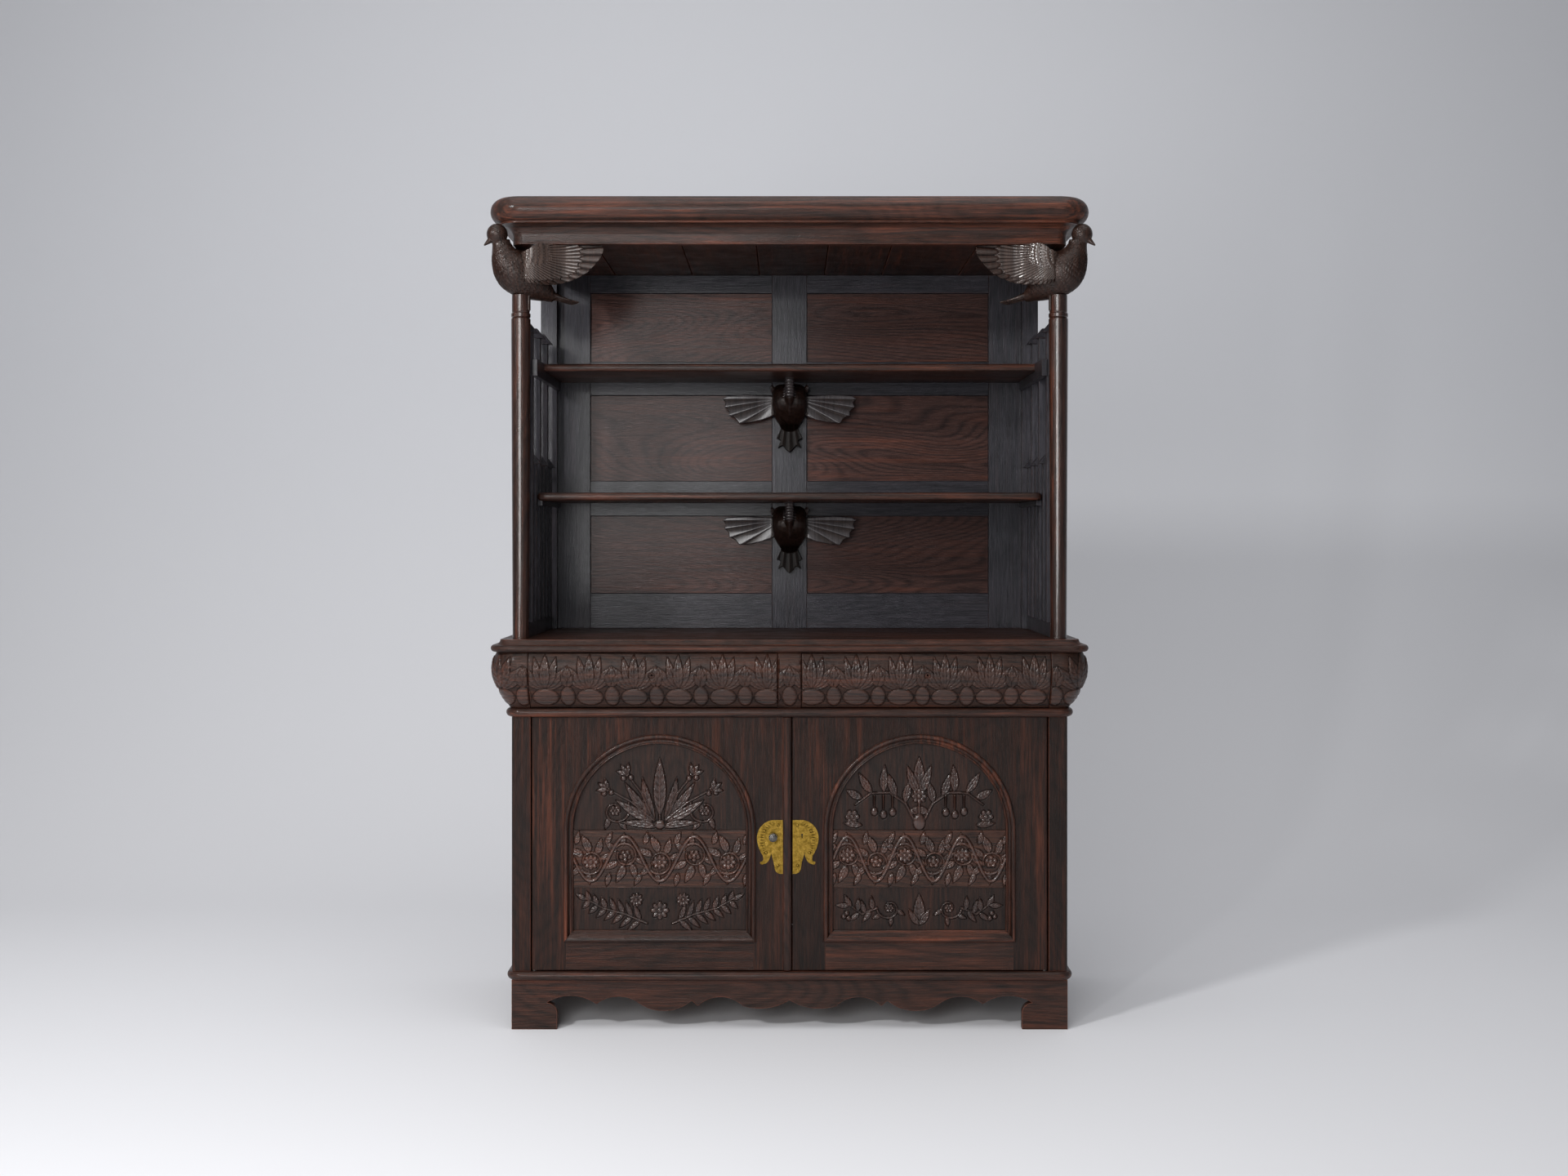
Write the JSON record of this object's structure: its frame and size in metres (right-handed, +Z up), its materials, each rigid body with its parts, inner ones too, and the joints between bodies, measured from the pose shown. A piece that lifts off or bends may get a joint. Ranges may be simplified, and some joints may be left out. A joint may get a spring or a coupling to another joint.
{
  "type": "carved sideboard cabinet",
  "caption": "Dark carved oak cabinet: arched two-door cupboard and swelling drawers below, open shelf hutch with slatted sides, turned columns and perched birds above.",
  "frame": {"origin": "on the floor, in the middle of the object's width and depth", "axes": "+X to the right as seen from the front, -Y to the front where the doors are, +Z up"},
  "size_m": [1.5988, 0.5999, 2.18],
  "materials": {
    "oak": "dark stained oak, waxed",
    "moulding_oak": "redder stained oak, waxed",
    "panel_oak": "brown stained oak with open grain",
    "inside_oak": "plain oak, unpolished",
    "brass": "aged engraved brass",
    "steel": "worn steel"
  },
  "bodies": {
    "case": {"plinth_front": "oak", "plinth_sides": "oak", "plinth_back": "oak", "front_left_post": "oak", "front_right_post": "oak", "rear_posts": "oak", "case_sides": "oak", "frieze_ends": "oak", "drawer_muntin": "oak", "left_column": "oak", "right_column": "oak", "left_bird_body": "oak", "left_bird_wings": "oak", "right_bird_body": "oak", "right_bird_wings": "oak", "hutch_rear_posts": "oak", "gallery_rails": "oak", "left_slats": "oak", "right_slats": "oak", "upper_shelf": "oak", "lower_shelf": "oak", "hutch_back_frame": "oak", "upper_bracket_bird": "oak", "lower_bracket_bird": "oak", "base_bead": "moulding_oak", "waist_bead": "moulding_oak", "worktop": "moulding_oak", "cornice_moulding": "moulding_oak", "hutch_back_panels": "panel_oak", "cornice_boards": "panel_oak", "plinth_corner_blocks": "inside_oak", "bottom_board": "inside_oak", "lower_back_boards": "inside_oak", "inner_shelf": "inside_oak", "shelf_cleats": "inside_oak", "divider_board": "inside_oak", "drawer_guides": "inside_oak", "latch_keeper": "steel"},
    "left_door": {"left_door_frame": "oak", "left_door_mouldings": "moulding_oak", "left_door_panels": "oak", "left_lock_plate": "brass", "left_door_pins": "steel", "astragal": "moulding_oak"},
    "latch": {"latch_knob": "steel"},
    "right_door": {"right_door_frame": "oak", "right_door_mouldings": "moulding_oak", "right_door_panels": "oak", "right_lock_plate": "brass", "right_door_pins": "steel", "right_door_lock": "steel"},
    "left_drawer": {"left_drawer_front": "oak", "left_drawer_box": "inside_oak", "left_drawer_lock": "steel"},
    "right_drawer": {"right_drawer_front": "oak", "right_drawer_box": "inside_oak", "right_drawer_lock": "steel"},
    "left_drawer_key_bolt": {"left_drawer_bolt": "steel"},
    "right_drawer_key_bolt": {"right_drawer_bolt": "steel"},
    "right_door_key_bolt": {"right_door_bolt": "steel"}
  },
  "joints": [
    {"name": "left_door_hinge", "type": "hinge", "parent": "case", "child": "left_door", "pos_m": [-0.6705, -0.2335, 0.488], "axis": [0, 0, -1], "range_deg": [0, 100]},
    {"name": "right_door_hinge", "type": "hinge", "parent": "case", "child": "right_door", "pos_m": [0.6705, -0.2335, 0.488], "axis": [0, 0, 1], "range_deg": [0, 100]},
    {"name": "latch_turn", "type": "hinge", "parent": "left_door", "child": "latch", "pos_m": [-0.0436, -0.25, 0.507], "axis": [0, -1, 0], "range_deg": [0, 90]},
    {"name": "right_door_bolt_throw", "type": "slide", "parent": "right_door", "child": "right_door_key_bolt", "axis": [-1, 0, 0], "range_m": [0, 0.009]},
    {"name": "left_drawer_slide", "type": "slide", "parent": "case", "child": "left_drawer", "axis": [0, -1, 0], "range_m": [0, 0.3]},
    {"name": "right_drawer_slide", "type": "slide", "parent": "case", "child": "right_drawer", "axis": [0, -1, 0], "range_m": [0, 0.3]},
    {"name": "left_drawer_bolt_throw", "type": "slide", "parent": "left_drawer", "child": "left_drawer_key_bolt", "axis": [0, 0, 1], "range_m": [0, 0.008]},
    {"name": "right_drawer_bolt_throw", "type": "slide", "parent": "right_drawer", "child": "right_drawer_key_bolt", "axis": [0, 0, 1], "range_m": [0, 0.008]}
  ]
}
